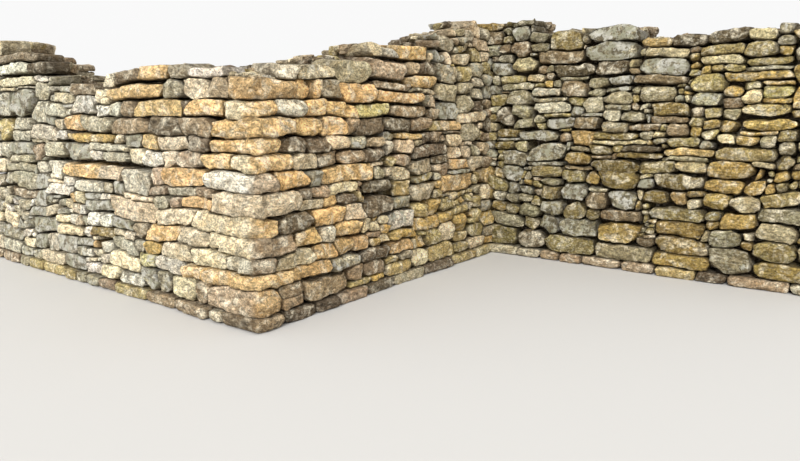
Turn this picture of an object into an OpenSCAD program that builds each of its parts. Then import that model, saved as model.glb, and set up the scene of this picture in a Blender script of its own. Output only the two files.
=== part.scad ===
// Dry stone retaining wall on a Z-shaped plan: a left stretch, a toothed outside
// corner, a right stretch at a right angle to it, and a back stretch from the
// inner corner. X runs along the left and back stretches, Y along the right
// stretch, Z up. The origin is on the bottom face, under the outside corner,
// where the centre lines of the left and right stretches cross.

/* [Wall] */
// Thickness of the wall above its footing
wall_t = 660; // [630:10:800]
// Depth of the laid stones in the front and back skins
skin_d = 190; // [160:5:205]
// Depth of the cope stones along the front edge
cope_d = 240; // [200:5:265]
// How far the packing lies below the top of the cope stones
fill_drop = 60; // [0:5:80]
// Lean of the front face, in mm back for each metre of height
batter = 75; // [40:5:90]

/* [Lengths] */
// Face length of the left stretch, from the outside corner to its cut end
left_len = 4100; // [3900:50:6000]
// Face length of the right stretch, between the two corners
right_len = 3160; // [3000:20:4200]
// Face length of the back stretch, from the inner corner to its cut end
back_len = 3000; // [2600:50:5000]

/* [Footing] */
// Height of the footing course
footing_h = 90; // [60:5:160]
// How far the footing stands proud of the wall on each side
footing_out = 40; // [20:5:80]
// Usual length of a footing stone
footing_stone = 520; // [350:10:700]

/* [Stones] */
// Usual length of a face stone
face_stone = 230; // [170:5:320]
// Usual length of a stone of the back skin
back_stone = 290; // [200:5:400]
// Usual length of a cope stone
cope_stone = 290; // [200:5:400]
// Most that a stone stands proud of the face line
bulge = 20; // [8:1:24]
// Depth to which the open joints reach from the face line
joint_depth = 45; // [25:1:60]
// Width of the open joint between two stones of a course
joint_w = 12; // [8:1:18]
// Height of the open bed joint over each stone
bed_joint = 9; // [5:1:12]
// Width of the worn edge at each end of a stone
nose = 26; // [12:1:34]
// Depth of that worn edge
nose_depth = 18; // [15:1:24]

/* [Quoins] */
// Radius of a quoin's bull-nosed outer corner
quoin_round = 55; // [20:1:80]
// Height of the worn band along a quoin's top and bottom edges
quoin_worn = 16; // [8:1:24]
// How far that band is set back from the quoin's two faces
quoin_inset = 14; // [6:1:24]
// How far a quoin's shortest leg reaches past the depth of the skins
quoin_over = 10; // [5:1:30]

/* [Hidden] */
// Heights of the twelve courses that the quoins set, from the bottom up
QUOIN_H = [176, 101, 122, 127, 128, 161, 135, 119, 106, 131, 123, 143];
// Heights of the courses that only the high parts of the wall reach
UPPER_H = [105, 120, 110, 125, 105, 110];
COURSE_H = concat(QUOIN_H, UPPER_H);
// Legs of each quoin from the arris, along the left and the right stretch
SHORT = skin_d + quoin_over;
LEFT_LEG = [490, 785, 280, 490, 665, 410, 485, SHORT, 405, 380, 290, 220];
RIGHT_LEG = [SHORT, 310, SHORT, 360, SHORT, 400, SHORT, 350, 270, 365, 220, 400];
// How far each quoin stands proud of the face line
QUOIN_PROUD = [14, 20, 6, 12, 4, 20, 10, 6, 8, 16, 6, 10];

// Distance of the two faces from the origin, at the foot of the corner
CORNER = wall_t / 2;
// Step between the seeds of two sets of random draws
SKEW = 7;

// Height above the bottom face at which course i begins
function course_z(i) = i == 0 ? footing_h : course_z(i - 1) + COURSE_H[i - 1];
// Set-back of the face line at course i, from the lean of the wall
function lean(i) = batter * (course_z(i) - footing_h) / 1000;

// Places of the steps of the top: left from the outside corner, past a slipped
// length and up, right from the inner corner and down, back from that corner
LEFT_STEPS = [330, 1850, 2600, 2950, 3350, 3650];
RIGHT_STEPS = [2800, 2280, 1800, 900, 560, 210];
BACK_STEPS = [350, 1350];
// Face courses under the cope between those steps
LEFT_COURSES = [11, 12, 11, 12, 13, 14, 15];
RIGHT_COURSES = [11, 12, 13, 14, 15, 16, 17];
BACK_COURSES = [17, 16, 15];
// The lengths of level top as [from, to, face courses under the cope]
function levels(cuts, courses) =
    [for (k = [0 : len(courses) - 1]) [cuts[k], cuts[k + 1], courses[k]]];
LEFT_TOP = levels([-wall_t, each LEFT_STEPS, left_len], LEFT_COURSES);
RIGHT_TOP = levels(
    [-wall_t, for (step = RIGHT_STEPS) right_len - step, right_len + 2 * wall_t],
    RIGHT_COURSES
);
BACK_TOP = levels([-2 * wall_t, each BACK_STEPS, back_len], BACK_COURSES);

// Each bay: name, stretch number, from and to along the face
BAYS = [
    ["left_near", 0, -wall_t, left_len / 2],
    ["left_far", 0, left_len / 2, left_len],
    ["right_near", 1, -wall_t, right_len / 2],
    ["right_far", 1, right_len / 2, right_len + 2 * wall_t],
    ["back_near", 2, -2 * wall_t, back_len / 2],
    ["back_far", 2, back_len / 2, back_len]
];
PARTS = ["footing", "face", "hearting", "back", "cope"];
TOPS = [LEFT_TOP, RIGHT_TOP, BACK_TOP];

function two_digits(k) = k < 10 ? str("0", k) : str(k);
function quoin_name(i) = str("quoin_", two_digits(i + 1));

// Where the stones of the front skin begin to show, and where they end, at
// course i. On the back stretch the skin itself runs on behind the right one.
function face_shows(stretch, i) =
    stretch == 2 ? -lean(i)
    : lean(i) + (i >= len(QUOIN_H) ? skin_d : stretch == 0 ? LEFT_LEG[i] : RIGHT_LEG[i]);
function face_start(stretch, i) = face_shows(stretch, i) - (stretch == 2 ? skin_d : 0);
function face_end(stretch, i) =
    stretch == 0 ? left_len : stretch == 1 ? right_len + lean(i) : back_len;

// Where the hearting begins behind stones of the given depth, and where it ends
function core_start(stretch, i, depth) =
    stretch == 0 ? wall_t - skin_d : stretch == 1 ? lean(i) + depth : -lean(i) - depth;
function core_end(stretch) =
    stretch == 0 ? left_len : stretch == 1 ? right_len + wall_t - skin_d : back_len;

// The same for the back skin, which turns two corners of its own
function back_shows(stretch) = stretch == 2 ? -wall_t : wall_t;
function back_start(stretch) = back_shows(stretch) - (stretch == 0 ? skin_d : 0);
function back_end(stretch) = core_end(stretch);

// The lengths of a bay at which the wall is more than i courses high under the
// cope, as [from, to] pairs with neighbours joined
function over(bay, i) = joined([
    for (step = TOPS[bay[1]])
        if (step[2] > i && min(step[1], bay[3]) > max(step[0], bay[2]))
            [max(step[0], bay[2]), min(step[1], bay[3])]
]);
function joined(runs, k = 1) =
    len(runs) < 2 || k >= len(runs) ? runs
    : runs[k - 1][1] < runs[k][0] ? joined(runs, k + 1)
    : joined([
        for (j = [0 : len(runs) - 1])
            if (j != k) j == k - 1 ? [runs[j][0], runs[k][1]] : runs[j]
    ], k);
// The same lengths, cut off at two limits
function within(runs, lo, hi) = [
    for (run = runs)
        if (min(run[1], hi) - max(run[0], lo) > 3 * joint_w) [max(run[0], lo), min(run[1], hi)]
];
// Lengths at which course i is the cope's own course
function at_top(bay, i) = [
    for (step = TOPS[bay[1]])
        if (step[2] == i && min(step[1], bay[3]) > max(step[0], bay[2]))
            [max(step[0], bay[2]), min(step[1], bay[3])]
];

// Joints of a run of stones whose usual length is given, at uneven distances
function joints(from, to, usual, seed) =
    let (count = max(1, round((to - from) / usual)),
         share = rands(0.65, 1.45, count, seed),
         total = sum(share))
    [for (k = [0 : count]) from + (to - from) * (k == 0 ? 0 : sum(share, k)) / total];
function sum(list, count = -1, k = 0) =
    k >= (count < 0 ? len(list) : count) ? 0 : list[k] + sum(list, count, k + 1);

// Outline of one stone's exposed end: a worn edge, a flat head and a worn edge,
// where the worn edges of a very short stone leave a third of its length flat
function stone_head(a, b, line, proud, side) =
    let (worn = min(nose, (b - a - joint_w) / 3))
    [
        [a + joint_w / 2, line + side * joint_depth],
        [a + joint_w / 2, line + side * (nose_depth - proud)],
        [a + joint_w / 2 + worn, line - side * proud],
        [b - joint_w / 2 - worn, line - side * proud],
        [b - joint_w / 2, line + side * (nose_depth - proud)],
        [b - joint_w / 2, line + side * joint_depth]
    ];

// One course of laid stones. The face line is at depth line, the stones reach
// back to depth inner, and their heads show from shows onwards.
module stone_course(from, to, shows, line, inner, z, h, usual, seed) {
    side = inner > line ? 1 : -1;
    first = max(from, shows);
    cuts = joints(first, to, usual, seed);
    stones = len(cuts) - 1;
    proud = rands(0, bulge, stones, seed + SKEW);
    tail = line + side * joint_depth * 2;
    translate([0, 0, z]) {
        linear_extrude(h - bed_joint)
            polygon(concat(
                [[first, tail]],
                [for (k = [0 : stones - 1]) each stone_head(cuts[k], cuts[k + 1], line, proud[k], side)],
                [[to, tail]]
            ));
        linear_extrude(h)
            polygon([
                [from, line + side * joint_depth], [to, line + side * joint_depth],
                [to, inner], [from, inner]
            ]);
    }
}

// Puts a stretch drawn as [along, into the wall, up] in its place
module placed(stretch) {
    if (stretch == 0) translate([CORNER, -CORNER, 0]) mirror([1, 0, 0]) children();
    if (stretch == 1) translate([CORNER, -CORNER, 0]) rotate(90) children();
    if (stretch == 2) translate([CORNER, right_len - CORNER, 0]) children();
}

function bay_seed(bay) = 100 * (1 + bay[1]) + (bay[2] > 0 ? 50 : 0);

module face(bay) {
    color([0.80, 0.66, 0.43])
    placed(bay[1])
    for (i = [0 : len(COURSE_H) - 1])
        for (run = within(over(bay, i), face_start(bay[1], i), face_end(bay[1], i)))
            stone_course(run[0], run[1], face_shows(bay[1], i), lean(i), lean(i) + skin_d,
                course_z(i), COURSE_H[i], face_stone, bay_seed(bay) + i);
}

module back(bay) {
    color([0.56, 0.53, 0.46])
    placed(bay[1])
    for (i = [0 : len(COURSE_H) - 1])
        for (run = within(over(bay, i - 1), back_start(bay[1]), back_end(bay[1])))
            stone_course(run[0], run[1], back_shows(bay[1]), wall_t, wall_t - skin_d,
                course_z(i), COURSE_H[i], back_stone, bay_seed(bay) + 20 + i);
}

// Small stones packed between the skins, let in around the quoins
module hearting(bay) {
    color([0.42, 0.37, 0.30])
    placed(bay[1])
    for (i = [0 : len(COURSE_H) - 1]) {
        for (run = within(over(bay, i), core_start(bay[1], i, skin_d), core_end(bay[1])))
            packed(bay[1], run, i, lean(i) + skin_d, COURSE_H[i]);
        for (run = within(at_top(bay, i), core_start(bay[1], i, cope_d), core_end(bay[1])))
            packed(bay[1], run, i, lean(i) + cope_d, COURSE_H[i] - fill_drop);
    }
}

module packed(stretch, run, i, front, h) {
    quoined = i < len(QUOIN_H) && stretch < 2;
    leg_along = stretch == 0 ? LEFT_LEG[i] : RIGHT_LEG[i];
    leg_in = stretch == 0 ? RIGHT_LEG[i] : LEFT_LEG[i];
    along = quoined ? lean(i) + leg_along : run[0];
    into = quoined ? lean(i) + leg_in : front;
    rear = wall_t - skin_d;
    from = run[0];
    to = run[1];
    notched = along > from && into > front;
    points = !notched ? [[from, front], [to, front], [to, rear], [from, rear]]
        : into >= rear ? [[along, front], [to, front], [to, rear], [along, rear]]
        : [[from, into], [along, into], [along, front], [to, front], [to, rear], [from, rear]];
    translate([0, 0, course_z(i)])
        linear_extrude(h)
            polygon(points);
}

// Cope stones along the front edge, each a loose solid on the course below
module cope(bay) {
    color([0.62, 0.60, 0.50])
    placed(bay[1])
    for (i = [0 : len(COURSE_H) - 1]) {
        for (run = within(at_top(bay, i), face_shows(bay[1], i), face_end(bay[1], i)))
            cope_run(run, i, bulge, bay_seed(bay) + 40 + i);
        inner_corner = [-lean(i) - cope_d, -lean(i)];
        if (bay[1] == 2)
            for (run = within(at_top(bay, i), inner_corner[0], inner_corner[1]))
                cope_run(run, i, 0, bay_seed(bay) + 60 + i);
    }
}

module cope_run(run, i, most_proud, seed) {
    cuts = joints(run[0], run[1], cope_stone, seed);
    stones = len(cuts) - 1;
    proud = rands(0, most_proud, stones, seed + SKEW);
    worn = rands(0, 2 * bed_joint, stones, seed + 2 * SKEW);
    line = lean(i);
    for (k = [0 : stones - 1])
        translate([0, 0, course_z(i)])
            linear_extrude(COURSE_H[i] - worn[k])
                polygon(concat(
                    [[cuts[k] + joint_w / 2, line + cope_d]],
                    stone_head(cuts[k], cuts[k + 1], line, proud[k], 1),
                    [[cuts[k + 1] - joint_w / 2, line + cope_d]]
                ));
}

// Broad footing stones across the whole thickness, with open joints between
module footing(bay) {
    stretch = bay[1];
    from = max(bay[2], stretch == 0 ? wall_t + footing_out
        : stretch == 1 ? -footing_out : -wall_t - footing_out);
    to = min(bay[3], stretch == 1 ? right_len - footing_out : bay[3]);
    cuts = joints(from, to, footing_stone, bay_seed(bay) + 90);
    stones = len(cuts) - 1;
    front = -footing_out;
    rear = wall_t + footing_out;
    color([0.50, 0.45, 0.37])
    placed(stretch)
    linear_extrude(footing_h)
        polygon(concat(
            [[from, wall_t / 2]],
            [for (k = [0 : stones - 1]) each stone_head(cuts[k], cuts[k + 1], front, 0, 1)],
            [[to, wall_t / 2]],
            [for (k = [stones - 1 : -1 : 0])
                each reversed(stone_head(cuts[k], cuts[k + 1], rear, 0, -1))]
        ));
}
function reversed(list) = [for (k = [len(list) - 1 : -1 : 0]) list[k]];

// Plan of a quoin, with its two faces set back by inset and its arris rounded
function quoin_plan(i, inset) =
    let (out = QUOIN_PROUD[i] - inset,
         x = CORNER - lean(i),
         y = -CORNER + lean(i),
         r = quoin_round)
    concat(
        [[x - LEFT_LEG[i], y + RIGHT_LEG[i]], [x - LEFT_LEG[i], y - out]],
        [for (a = [-90 : 15 : 0]) [x + out - r + r * cos(a), y - out + r + r * sin(a)]],
        [[x + out, y + RIGHT_LEG[i]]]
    );

// One bull-nosed corner stone: a full middle between two worn bands
module quoin(i) {
    h = QUOIN_H[i];
    color([0.84, 0.68, 0.42])
    translate([0, 0, course_z(i)]) {
        linear_extrude(h) polygon(quoin_plan(i, quoin_inset));
        translate([0, 0, quoin_worn])
            linear_extrude(h - 2 * quoin_worn) polygon(quoin_plan(i, 0));
    }
}

module bay_part(bay, part) {
    if (part == "footing") footing(bay);
    if (part == "face") face(bay);
    if (part == "hearting") hearting(bay);
    if (part == "back") back(bay);
    if (part == "cope") cope(bay);
}

for (bay = BAYS)
    for (part = PARTS)
        bay_part(bay, part);
for (i = [0 : len(QUOIN_H) - 1])
    quoin(i);
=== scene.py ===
# %% [markdown]
# # A dry stone wall with a toothed corner
# The real wall is laid without mortar, from golden, cream and grey limestone, and its outside corner
# is tied by long bull-nosed quoins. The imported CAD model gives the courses, the quoins and the steps
# of the top. This lesson lays real-looking stones in their place.

# %% Load the frame
import math
import random
from collections import defaultdict
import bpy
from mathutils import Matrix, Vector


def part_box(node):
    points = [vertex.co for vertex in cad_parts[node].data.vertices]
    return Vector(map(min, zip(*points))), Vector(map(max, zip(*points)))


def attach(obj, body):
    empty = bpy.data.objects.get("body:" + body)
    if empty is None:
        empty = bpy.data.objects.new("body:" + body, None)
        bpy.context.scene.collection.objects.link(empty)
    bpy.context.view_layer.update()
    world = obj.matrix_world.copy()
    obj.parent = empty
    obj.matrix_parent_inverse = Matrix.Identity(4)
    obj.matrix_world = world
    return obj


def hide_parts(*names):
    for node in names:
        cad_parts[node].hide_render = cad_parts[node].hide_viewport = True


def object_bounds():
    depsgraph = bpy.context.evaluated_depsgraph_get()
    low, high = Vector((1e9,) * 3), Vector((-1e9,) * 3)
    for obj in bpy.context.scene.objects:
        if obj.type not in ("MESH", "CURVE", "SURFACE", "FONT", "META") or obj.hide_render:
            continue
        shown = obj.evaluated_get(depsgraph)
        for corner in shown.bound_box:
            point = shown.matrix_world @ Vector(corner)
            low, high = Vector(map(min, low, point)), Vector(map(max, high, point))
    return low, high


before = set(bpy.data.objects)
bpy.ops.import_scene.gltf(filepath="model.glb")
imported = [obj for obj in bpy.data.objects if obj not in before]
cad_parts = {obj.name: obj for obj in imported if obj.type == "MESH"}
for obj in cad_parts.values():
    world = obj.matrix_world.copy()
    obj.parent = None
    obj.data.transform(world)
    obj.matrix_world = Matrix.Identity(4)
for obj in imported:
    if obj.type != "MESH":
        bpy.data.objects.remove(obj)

from types import SimpleNamespace

import bmesh
import bpy
import numpy as np

cad_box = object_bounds()
print("the CAD box is", [round(v, 3) for corner in cad_box for v in corner])

# %% [markdown]
# ## Camera
# The camera stands where the photo was taken from, at eye level in front of the outside corner. Its
# place came from fitting the bed joints of both faces.

# %% Set the camera
CAMERA_PLACE = (3.473, -3.006, 1.434)
CAMERA_DOWN = math.radians(10.49)
CAMERA_LEFT = math.radians(36.5)
CAMERA_LENS = 28.8
CAMERA_FILM = 36

camera_data = bpy.data.cameras.new("camera")
camera_data.lens = CAMERA_LENS
camera_data.sensor_width = CAMERA_FILM
camera = bpy.data.objects.new("camera", camera_data)
camera.location = CAMERA_PLACE
camera.rotation_euler = (math.pi / 2 - CAMERA_DOWN, 0, CAMERA_LEFT)
bpy.context.scene.collection.objects.link(camera)
bpy.context.scene.camera = camera
print("the camera is at", CAMERA_PLACE)

# %% [markdown]
# ## The wall's measures
# A node of the cope holds several loose solids, which are told apart by joining the triangles that
# share points.

# %% Find the separate solids of a node
POINT_DIGITS = 4


def solids_of(node):
    """Lowest and highest corner of every separate solid in a node."""
    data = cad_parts[node].data
    points = np.array([vertex.co for vertex in data.vertices])
    places, same = np.unique(np.round(points, POINT_DIGITS), axis=0, return_inverse=True)
    corners = same.ravel()[np.array([face.vertices for face in data.polygons])]
    group = np.arange(len(places))
    before = np.zeros_like(group)
    while (group != before).any():
        before = group.copy()
        lowest = group[corners].min(axis=1)
        for column in corners.T:
            np.minimum.at(group, column, lowest)
    return [(places[group == g].min(axis=0), places[group == g].max(axis=0)) for g in np.unique(group)]


print(len(solids_of("left_near_cope")), "cope stones in the near left bay")

# %% [markdown]
# The beds are the levels on which the quoins and the cope stones lie. A height between two beds is
# written as a fraction, so level 5.5 is halfway up the sixth course.

# %% Read the beds and the ends from the frame
HALF_WALL = 0.33
SKIN = 0.19
LEAN = 0.075
BED_DIGITS = 3

bays = [side + reach for side in ("left", "right", "back") for reach in ("_near", "_far")]
quoins = [f"quoin_{k:02d}" for k in range(1, 13)]
heights = {round(cad_box[1][2], BED_DIGITS)}
for name in quoins:
    heights.update(round(corner.z, BED_DIGITS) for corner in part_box(name))
for bay in bays:
    heights.update(round(float(low[2]), BED_DIGITS) for low, high in solids_of(bay + "_cope"))
beds = np.array(sorted(heights))
foot = beds[0]
left_len = HALF_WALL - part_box("left_far_face")[0].x
inner_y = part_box("back_far_hearting")[0].y - SKIN
right_len = inner_y + HALF_WALL
back_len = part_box("back_far_face")[1].x - HALF_WALL
print(len(beds), "beds from", foot, "to", beds[-1])
print("lengths", round(left_len, 3), round(right_len, 3), round(back_len, 3))


def level(number):
    """Height of a level, which may lie between two beds."""
    return float(np.interp(number, np.arange(len(beds)), beds))


# %% [markdown]
# Each side of the wall is a plane. A point on it is given by how far along it is, how far into the
# wall, and how high. The three front planes lean back as they rise, and the rear ones are upright.

# %% Define the planes
class Plane:
    """One side of the wall: its foot, its direction, the way into the wall, and its lean."""

    def __init__(self, foot_at, along, into, lean):
        self.foot_at = np.array(foot_at)
        self.along = np.array(along)
        self.into = np.array(into)
        self.lean = lean
        self.mirrored = along[0] * into[1] - along[1] * into[0] < 0

    def place(self, points):
        """Moves points from (along, into, up) to the row frame."""
        depth = points[:, 1] + self.lean * (points[:, 2] - foot)
        flat = self.foot_at + np.outer(points[:, 0], self.along) + np.outer(depth, self.into)
        return np.column_stack([flat, points[:, 2]])

    def ends_of(self, low, high):
        """How far along the plane two corners of a box are."""
        return [(np.array(corner[:2]) - self.foot_at) @ self.along for corner in (low, high)]


LEFT = Plane((HALF_WALL, -HALF_WALL), (-1, 0), (0, 1), LEAN)
RIGHT = Plane((HALF_WALL, -HALF_WALL), (0, 1), (-1, 0), LEAN)
BACK = Plane((HALF_WALL, inner_y), (1, 0), (0, 1), LEAN)
LEFT_REAR = Plane((HALF_WALL, HALF_WALL), (-1, 0), (0, -1), 0)
RIGHT_REAR = Plane((-HALF_WALL, -HALF_WALL), (0, 1), (1, 0), 0)
BACK_REAR = Plane((HALF_WALL, inner_y + 2 * HALF_WALL), (1, 0), (0, -1), 0)
print("the front planes lean back", LEAN, "m for each metre of height")

# %% [markdown]
# ## A stone from the quarry
# Every stone starts as a cube that is cut into bands along its three directions. The tail, which
# nobody sees, is dissolved to one face. The models differ only in how many bands they have, so that a
# long slab and a small pinning stone have cells of about the same size.

# %% Model a stone
RINGS = 4
LONG_CHOICES = (4, 6, 8, 11, 15, 20)
HIGH_CHOICES = (3, 4, 6, 8)


def start_cube():
    """Adds a cube from -1 to 1 and opens it, with nothing else selected."""
    bpy.ops.object.select_all(action="DESELECT")
    bpy.ops.mesh.primitive_cube_add(size=2)
    bpy.ops.object.mode_set(mode="EDIT")
    bpy.ops.mesh.select_mode(type="EDGE")


def select_edges(axis):
    """Selects the edges of the cube that run along one axis."""
    mesh = bmesh.from_edit_mesh(bpy.context.object.data)
    for edge in mesh.edges:
        run = edge.verts[1].co - edge.verts[0].co
        edge.select_set(abs(run[axis]) > 0.99 * run.length)
    mesh.select_flush_mode()
    bmesh.update_edit_mesh(bpy.context.object.data)


def cut_bands(cells):
    """Cuts the cube into bands: pairs of an axis and the number of cells along it."""
    for axis, count in cells:
        select_edges(axis)
        bpy.ops.mesh.subdivide(number_cuts=count - 1)


def take_model():
    """Closes the model, returns its points and faces, and clears it away."""
    bpy.ops.object.mode_set(mode="OBJECT")
    model = bpy.context.object
    points = np.array([vertex.co for vertex in model.data.vertices])
    faces = [tuple(face.vertices) for face in model.data.polygons]
    bpy.data.objects.remove(model, do_unlink=True)
    return points, faces


def model_stone(cells_long, cells_high):
    """A banded cube's points, as (-1..1, ring, -1..1), and its faces."""
    start_cube()
    cut_bands([(0, cells_long), (2, cells_high), (1, RINGS)])
    bpy.ops.mesh.select_mode(type="FACE")
    mesh = bmesh.from_edit_mesh(bpy.context.object.data)
    for face in mesh.faces:
        face.select_set(face.normal.y > 0.99)
    bmesh.update_edit_mesh(bpy.context.object.data)
    bpy.ops.mesh.dissolve_faces(use_verts=False)
    points, faces = take_model()
    points[:, 1] = np.round((points[:, 1] + 1) * RINGS / 2)
    return points, faces


models = {(long, high): model_stone(long, high) for long in LONG_CHOICES for high in HIGH_CHOICES}
print(len(models), "model stones")

# %% [markdown]
# ## The line of the top
# The tops of the frame's cope stones give the line that the laid stones have to reach. It steps up
# from the corner to the back, and dips where the left stretch has slipped.

# %% Read the line of the top
def top_steps(plane, side):
    """The line of the top as (from, to, height), in order along a plane."""
    steps = []
    for node in (side + "_near_cope", side + "_far_cope"):
        for low, high in solids_of(node):
            ends = plane.ends_of(low, high)
            steps.append((min(ends), max(ends), high[2]))
    return sorted(steps)


def with_corner(steps):
    """The same line with the bare top of the last quoin before its first step."""
    return [(-HALF_WALL, steps[0][0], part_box(quoins[-1])[1].z)] + steps


def height_on(steps, along):
    """Height of the top at a place, where the nearest step runs on past the two ends."""
    distances = [abs(along - (step[0] + step[1]) / 2) - (step[1] - step[0]) / 2 for step in steps]
    return steps[int(np.argmin(distances))][2]


tops = {
    "left": with_corner(top_steps(LEFT, "left")),
    "right": with_corner(top_steps(RIGHT, "right")),
    "back": top_steps(BACK, "back"),
}
print({name: len(steps) for name, steps in tops.items()}, "steps of the top")

# %% [markdown]
# ## The mason's schedule
# Near the corner the eye knows each stone, so these are listed one by one. A line gives the level of a
# row's bottom and top, then each stone as from-to in centimetres along the wall, with a letter for its
# finish: g golden, t tawny, c cream, p pinkish, d dun, m brown, n dull brown, u umber, k dark, s grey, l
# pale with much lichen, w white, y with yellow lichen, b blue-grey, o ochre, e mossy.

# %% Write down the stones that stand out
LEFT_ROWS = """
0 1 50-67m 67-94c 94-112s 112-131s
1 2.1 80-114b 114-137y
2 3 31-70c 70-94c 95-110p
2.1 3 110-127o
3 4 52-86p 86-123g 123-140m
4 5 70-116p
4 5.2 116-176c
5 5.55 46-82g 82-100m 100-116s
5.55 6 46-66m 66-100s 100-119m
5.5 6.8 120-155l
6 7 55-103g 104-119d
7 8 29-58g 58-89d 89-106p 106-129w 129-152c
8 9 49-77k 77-110p 110-134g
9 10 48-83m 83-124k 128-172m
10 11 40-77g 77-86k 86-143g 143-160m
11 12 34-55d 55-82p 82-111s
11.1 11.85 112-177g
12 12.65 34-74w
12 13 75-99s 99-139g
12.05 12.9 139-168n
11.3 12 200-238n
9.1 10.1 170-224s
8.3 9 168-200o 200-240o
7.7 8.3 158-208l
7 7.7 153-188l 188-209w
7 8.2 210-250l 250-284l
5.9 6.8 190-255g 155-190p
5.2 5.8 176-195s 195-236w
4.1 4.8 178-215l
3.3 4 140-177s
2.5 3.1 175-202u
8.2 9.4 266-307l
8.4 9.1 241-266w
9.5 11.1 276-307l
9.9 11.8 308-350s
9 9.9 308-349l
8 9 308-350l
10.1 11.8 352-378l
8.1 10 352-378e
12 12.85 305-372c
13.1 13.9 315-380w
13 13.9 280-312k
14 14.7 300-392n
6.7 7.9 284-305m
7 8 306-352l
6.5 7 306-352s
5.9 6.7 281-301l
5.6 6.8 256-280w
5 5.9 278-300l
4.9 5.9 301-352s
4.7 5.4 240-277w
4.3 4.9 302-352n
"""
RIGHT_ROWS = """
0 0.5 22-44m
0.5 1 22-46n
0 0.85 46-93m
0.3 1 93-112m 112-137n
1 2 33-74t 74-108s 108-145k 145-175t
2 3 23-55s 55-80t 80-98t 98-118t
2.6 3 118-136m
3 4 40-67g 67-86w 86-110g 110-124c
2.7 3.9 147-180w
4 5 25-56k 56-93g 93-115p
4 5.3 117-150k
5 5.5 46-70p 70-88g 88-104k
5.5 6 46-60k 60-80m 80-108c
5.4 6 117-150k
6 7 27-55g 55-71s 72-132g
7 8 42-69p 69-90n 90-120m 120-143k
8 9 36-58k 58-80k 80-100p 100-124s
8 8.75 124-146m
7.2 8.3 147-159w
8.5 8.95 160-198g
9 10 46-75g 75-99g 99-115m 115-147k
9.1 9.95 150-187k 187-213m
10 11 32-59w 59-83g
10 10.85 83-115g
10 10.8 115-154y
10 10.75 156-210m
11 12 51-68g 68-80g 80-97n
10.9 12 97-136g
10.9 11.55 137-205g
11.6 12.1 137-183n
11.8 12.7 185-227g
12 13 36-56w 56-88s
12 13.5 88-134s
12.3 13.8 134-185d
12.8 13.8 185-203p 203-227k
14 14.6 150-176w
13.95 15 176-220g
7 7.9 185-240k
6 6.9 182-215s
6 6.7 242-280g
4.6 5.7 225-285g
4 4.9 152-182s
2.3 3.2 182-220o
8.9 9.7 232-262t
7.6 8.6 242-264c
8 9.4 266-300s
12 12.9 290-316l
"""
# On the back, the dark finishes k and u stand partly for dirt and partly for painted shade.
BACK_ROWS = """
13.4 14.7 10-38c
12.5 13.2 2-26e 26-49c
10.9 11.9 10-36s
10.2 11.1 38-76w
11.5 12.1 37-66w
10.2 11.4 90-106b
11.9 12.8 92-110s
10.8 11.6 108-133s
9.6 10.4 106-124w 126-148s
9.1 9.9 18-40s 50-82s
7.6 8.9 79-101g
6.9 7.3 124-162u
13 14 58-96k 98-130k
15.7 16.7 30-50s
14.9 15.7 165-191k
15 15.9 192-222k
14.9 15.6 138-160g
15.0 15.7 224-244c 255-278g
13.5 14.1 187-222c
13.3 13.9 223-256e
12.2 13 208-256o
11.2 11.9 236-258y
10.1 10.9 221-259e
9.2 9.9 224-264o
8.1 8.9 206-220c 221-237o
5 6 110-145u
4.1 5 150-172u 174-188g
3.1 3.9 156-203e
5.1 5.9 158-200u
7 8 205-250e
10 11 152-182u
11.4 12.7 70-90n
12 12.8 111-134s
12.1 12.8 136-178m
11 11.9 142-170s
9.3 10.8 0-17k
9 9.9 82-104m
9 9.5 133-162n
8.5 9 155-167c
8.2 9.1 1-27u
8 8.9 28-66s
8.3 8.9 106-142u
7.9 8.3 108-150c
7.35 7.85 128-163k
7.7 8.5 168-194e
7.1 7.9 0-19u 20-35c 102-118u
6.4 7.9 36-72s
6.2 7.2 76-101o
7 7.6 165-204g
5.9 6.8 102-142u
5.9 6.7 143-176e
6 6.7 178-200c
5.4 6.1 43-68e
5.2 5.95 74-95e
5.1 5.9 96-109o
"""

# %% [markdown]
# A chosen stone is lengthened to meet the next one where only a sliver would fit between the two.

# %% Turn the schedule into stones
SLOT = 0.06


class Stone:
    """A stone's place on a plane: from, to, and the heights of its bottom and top at both ends."""

    def __init__(self, start, end, bottom, top, kind):
        self.start, self.end, self.kind = start, end, kind
        self.bottom, self.top = bottom, top

    def middle(self):
        return (self.start + self.end) / 2


def close_slots(stones):
    """Lengthens chosen stones to meet the next one across a narrow slot."""
    for stone in stones:
        for other in stones:
            shared = min(stone.top[0], other.top[0]) - max(stone.bottom[0], other.bottom[0])
            lower = min(stone.top[0] - stone.bottom[0], other.top[0] - other.bottom[0])
            if shared > 0.5 * lower and 0 < other.start - stone.end < SLOT:
                stone.end = other.start = (stone.end + other.start) / 2
    return stones


def read_rows(rows):
    """Turns the schedule's lines into stones."""
    stones = []
    for row in rows.strip().splitlines():
        low, high, *words = row.split()
        bottom, top = level(float(low)), level(float(high))
        for word in words:
            start, end = (int(part) / 100 for part in word[:-1].split("-"))
            stones.append(Stone(start, end, (bottom, bottom), (top, top), word[-1]))
    return close_slots(stones)


schedule = {"left": read_rows(LEFT_ROWS), "right": read_rows(RIGHT_ROWS), "back": read_rows(BACK_ROWS)}
print({side: len(stones) for side, stones in schedule.items()}, "stones chosen by hand")

# %% [markdown]
# ## Laying the rubble between them
# A mason always fills the lowest place, and brings the stone's top level with a neighbour where that
# is close. The same rule works here on a row of centimetre-wide columns: each knows how high it is
# built, and the chosen stones hang over the columns as ceilings.

# %% Build up columns
COLUMN = 0.01
FLAT = 0.016
CLOSE = 0.02
THIN = 0.028
THIN_ON_TOP = 0.052
FAR_UP = 9.0
LEVEL = 1e-6


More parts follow.
